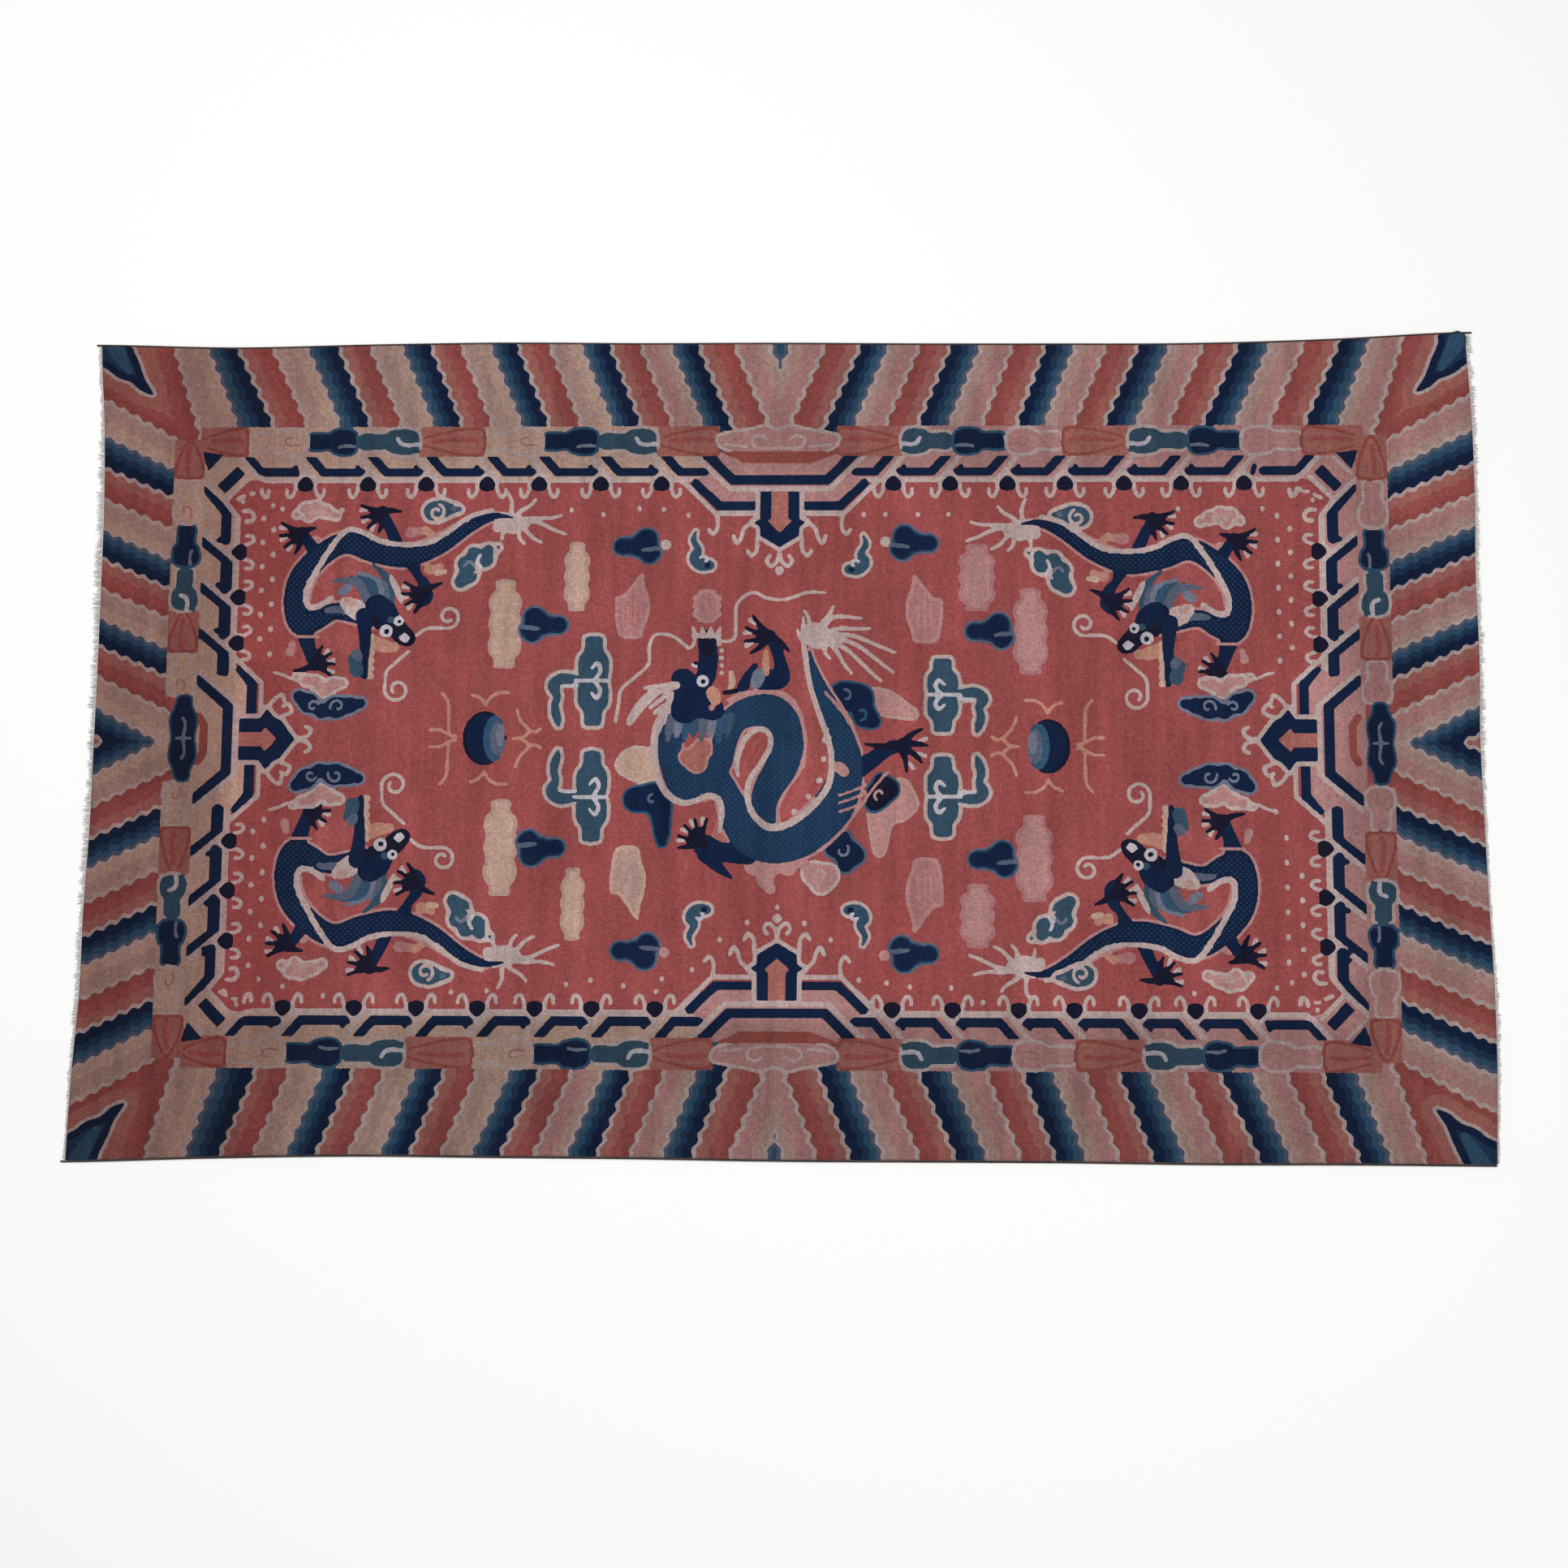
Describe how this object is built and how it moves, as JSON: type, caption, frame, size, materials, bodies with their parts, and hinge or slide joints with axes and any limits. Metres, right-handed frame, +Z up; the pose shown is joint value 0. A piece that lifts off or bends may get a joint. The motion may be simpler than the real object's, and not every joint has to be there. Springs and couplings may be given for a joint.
{
  "type": "chinese rug",
  "caption": "Flat hand-knotted wool rug with a striped wave border, overcast long sides and short frayed cotton warp ends.",
  "frame": {"origin": "centre of the rug's box at the level of its underside, which lies on the floor", "axes": "+X along the rug, +Y across it towards the back long side, +Z up out of the pile"},
  "size_m": [2.6146, 1.5606, 0.0086],
  "materials": {
    "wool_pile": "short clipped wool pile, worn and matte, in red, navy, blue, tan and cream",
    "dark_overcast": "dark brown wool yarn wound over the edge, matte",
    "cotton_warp": "greyed cotton yarn, frayed and matte"
  },
  "bodies": {
    "root": {"knotted_cloth": "wool_pile", "front_overcast_edge": "dark_overcast", "back_overcast_edge": "dark_overcast", "left_warp_ends": "cotton_warp", "right_warp_ends": "cotton_warp"}
  },
  "joints": []
}
